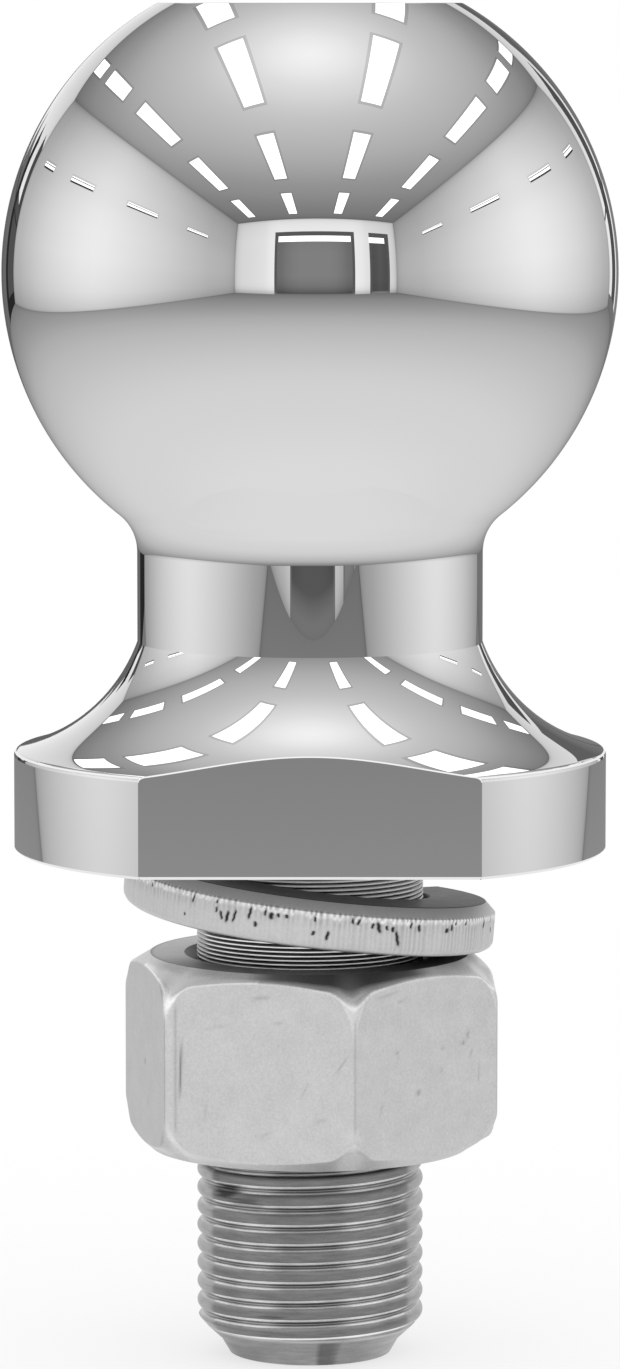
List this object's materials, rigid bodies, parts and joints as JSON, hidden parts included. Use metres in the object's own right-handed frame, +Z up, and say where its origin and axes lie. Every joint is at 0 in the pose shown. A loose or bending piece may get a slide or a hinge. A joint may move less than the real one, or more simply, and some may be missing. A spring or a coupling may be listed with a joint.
{
  "type": "threaded tow ball",
  "caption": "Chrome-plated hitch ball on a flanged neck with wrench flats and a threaded shank, fitted with a helical lock washer and a hexagon nut.",
  "frame": {"origin": "middle of the seat, the flange's flat underside that clamps on a drawbar", "axes": "+Z up the common axis towards the ball; the two wrench flats face -Y (front) and +Y"},
  "size_m": [0.0508, 0.0508, 0.1122],
  "materials": {
    "chrome_plate": "bright mirror chrome plate",
    "washer_steel": "dull zinc-plated spring steel, fine ribs and small pits on the rim",
    "nut_steel": "satin zinc-plated steel"
  },
  "bodies": {
    "ball": {"tow_ball": "chrome_plate"},
    "washer": {"lock_washer": "washer_steel"},
    "nut": {"hex_nut": "nut_steel"}
  },
  "joints": [
    {"name": "washer_slide", "type": "slide", "parent": "ball", "child": "washer", "axis": [0, 0, 1], "range_m": [-0.01746, 0]},
    {"name": "nut_spin", "type": "hinge", "parent": "washer", "child": "nut", "pos_m": [0, 0, -0.0168], "axis": [0, 0, 1], "range_deg": [-3960, 0]}
  ],
  "couplings": [
    {"joint": "washer_slide", "follows": "nut_spin", "m_per_rad": 0.00025266}
  ]
}
